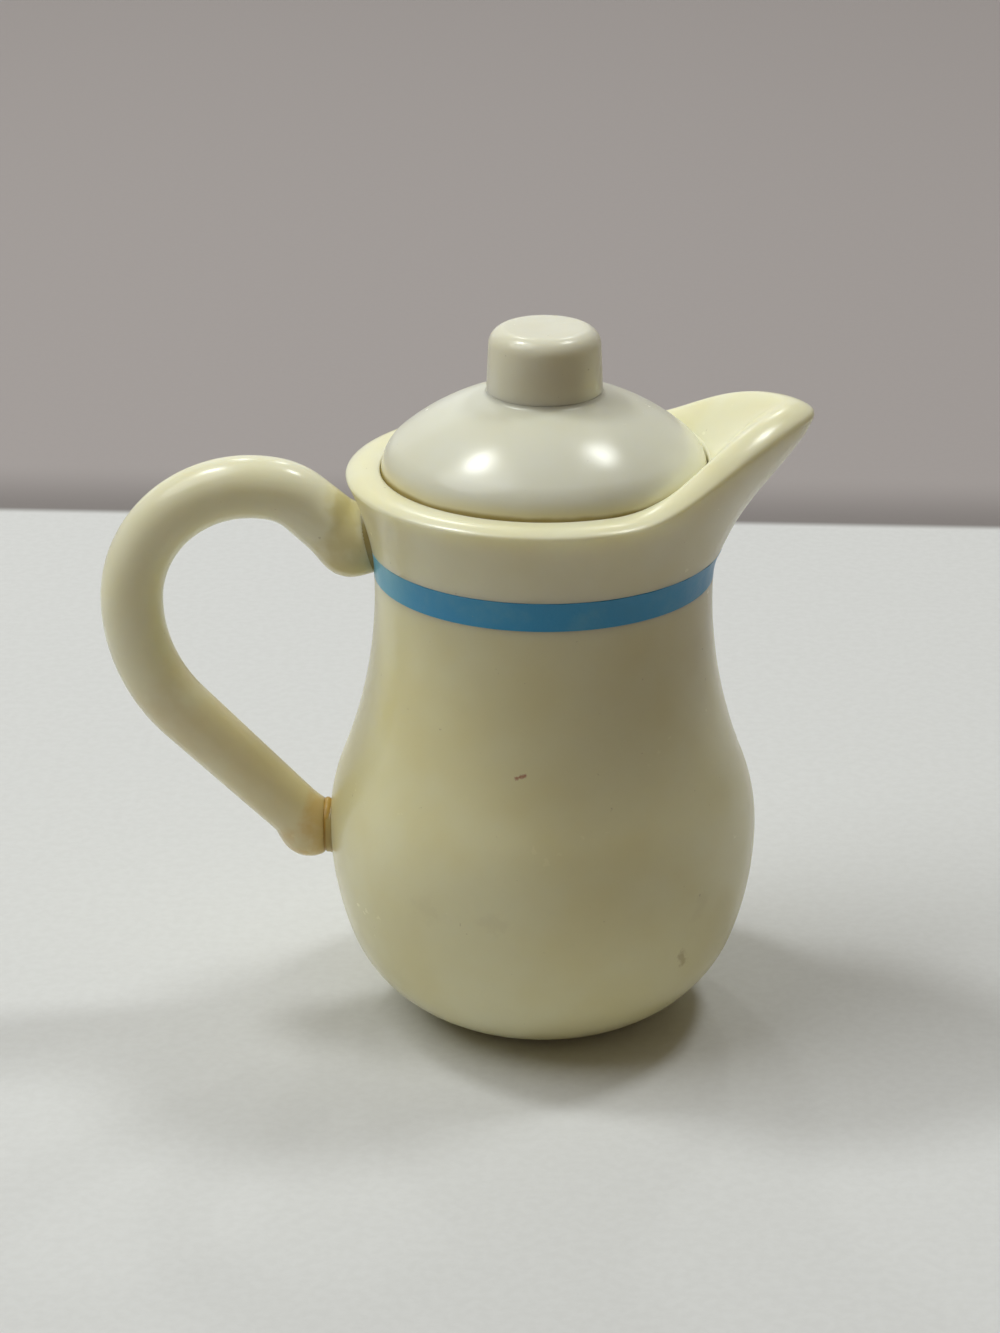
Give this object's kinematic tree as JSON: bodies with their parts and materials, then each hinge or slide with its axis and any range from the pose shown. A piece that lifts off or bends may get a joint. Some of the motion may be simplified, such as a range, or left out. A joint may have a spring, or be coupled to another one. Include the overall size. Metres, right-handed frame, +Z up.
{
  "type": "toy teapot",
  "caption": "Small cream toy pot in pitcher form, with a flared rim drawn out into a pouring lip, a loop handle, a blue neck stripe and a lift-off white domed lid with a knob.",
  "frame": {"origin": "centre of the flat base, on the belly's axis", "axes": "+Z up along the belly's axis, +X toward the pouring lip, -X toward the handle, +Y across the pot"},
  "size_m": [0.0521, 0.032, 0.0533],
  "materials": {
    "cream_plastic": "glossy, slightly yellowed, lightly scuffed",
    "white_plastic": "glossy",
    "blue_ink": "printed, satin",
    "glue": "aged, clear amber"
  },
  "bodies": {
    "pot": {"bowl": "cream_plastic", "collar": "cream_plastic", "stripe": "blue_ink", "handle": "cream_plastic", "upper_glue": "glue", "lower_glue": "glue"},
    "lid": {"lid": "white_plastic", "knob": "white_plastic"}
  },
  "joints": [
    {"name": "lid_lift", "type": "slide", "parent": "pot", "child": "lid", "axis": [0, 0, 1], "range_m": [0, 0.03]}
  ]
}
